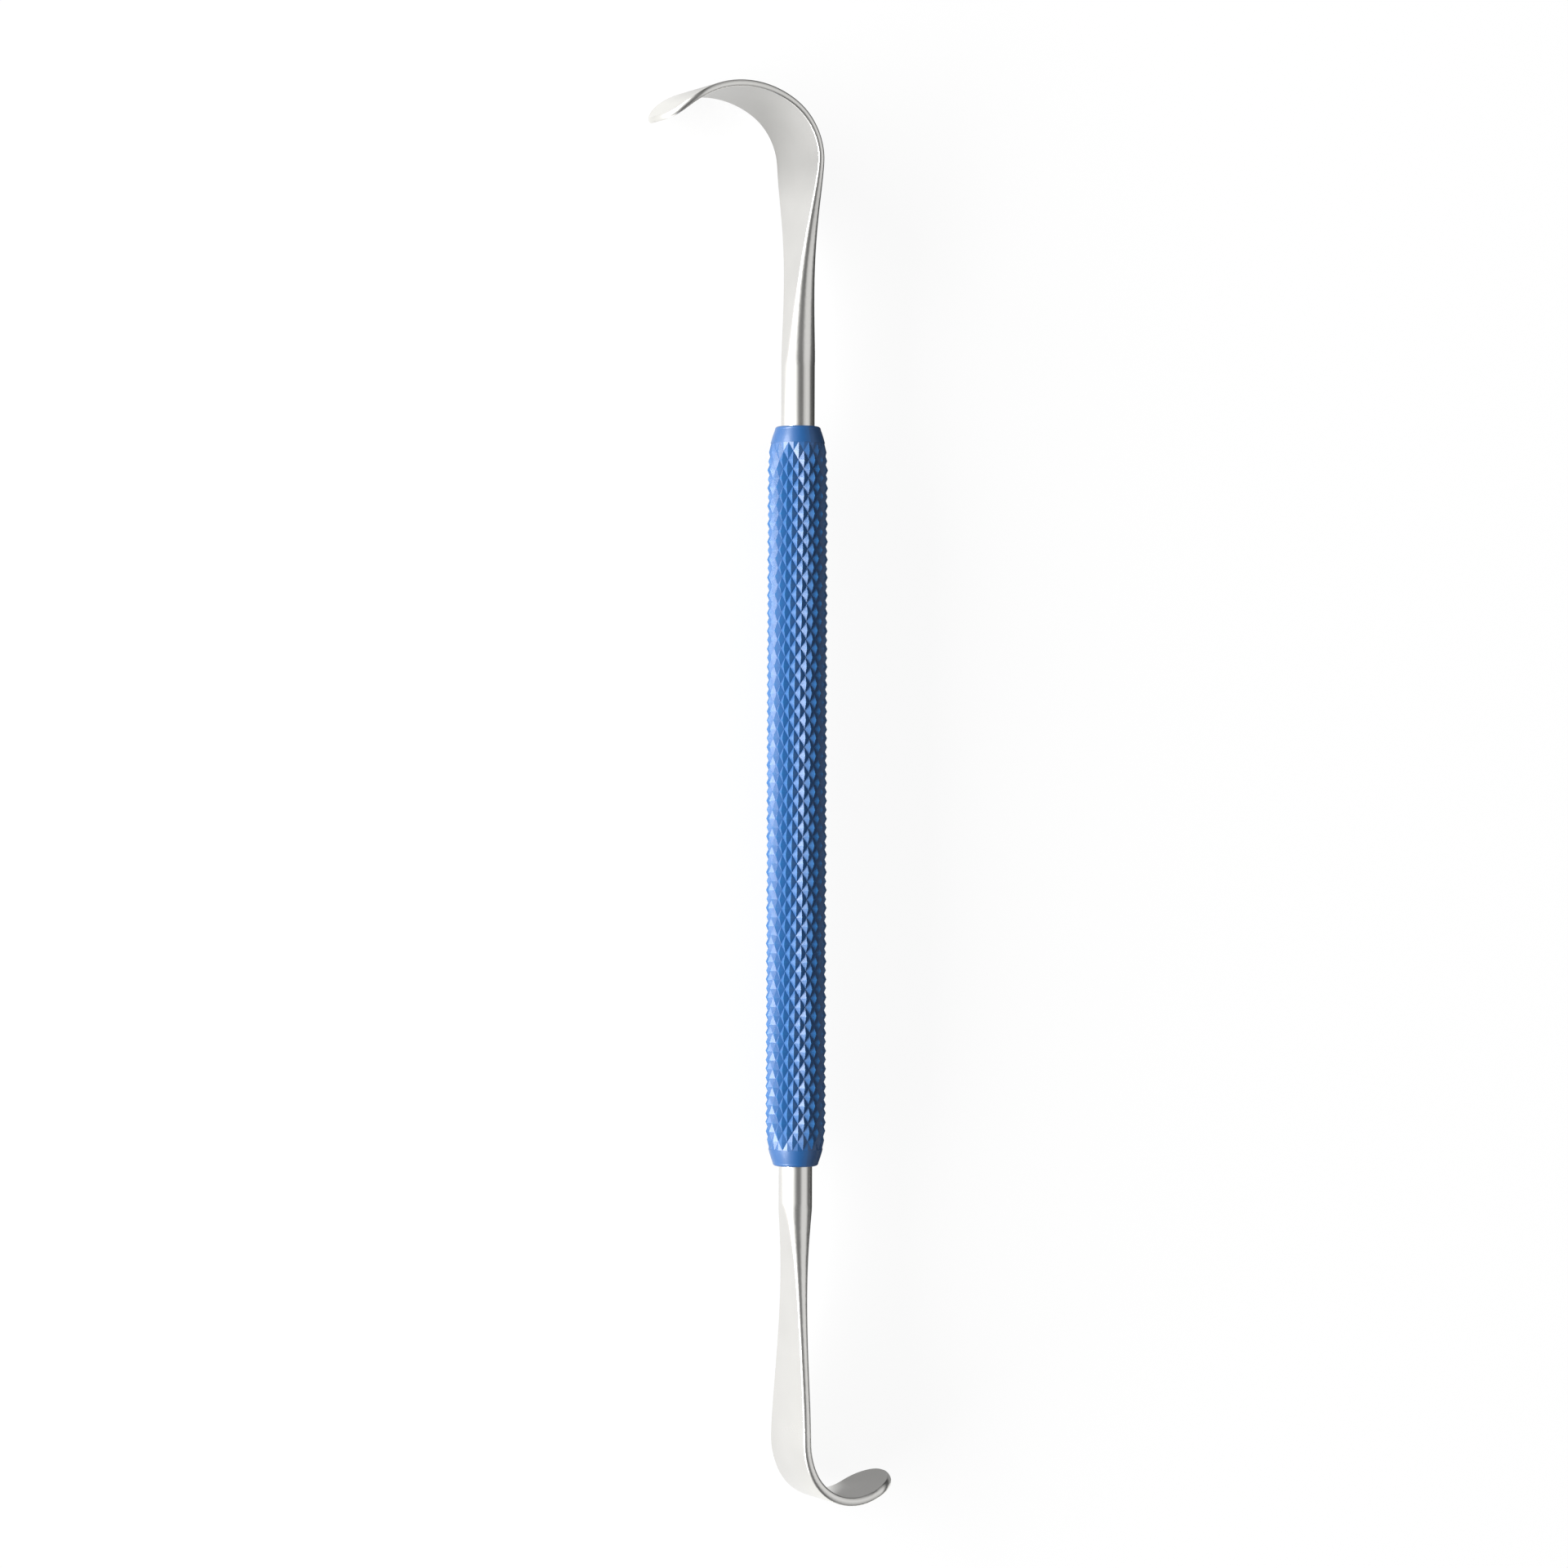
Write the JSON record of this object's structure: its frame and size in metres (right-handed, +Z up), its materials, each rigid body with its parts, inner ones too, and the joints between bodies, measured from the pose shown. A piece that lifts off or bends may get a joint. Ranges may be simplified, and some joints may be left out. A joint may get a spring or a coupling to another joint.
{
  "type": "surgical retractor",
  "caption": "Double-ended handheld tissue retractor: a knurled round grip with a deep flared hook at one end and a short right-angled hook at the other, lying flat",
  "frame": {"origin": "on the table, under the middle of the outline", "axes": "+Y runs along the grip toward the deep hook, +Z is up across the blades' width, and the deep hook bends toward -X"},
  "size_m": [0.0358, 0.19, 0.0122],
  "materials": {
    "deep_blade": "satin",
    "shallow_blade": "satin",
    "knurled_grip": "satin anodised blue"
  },
  "bodies": {
    "root": {"deep_blade": "deep_blade", "shallow_blade": "shallow_blade", "knurled_grip": "knurled_grip"}
  },
  "joints": []
}
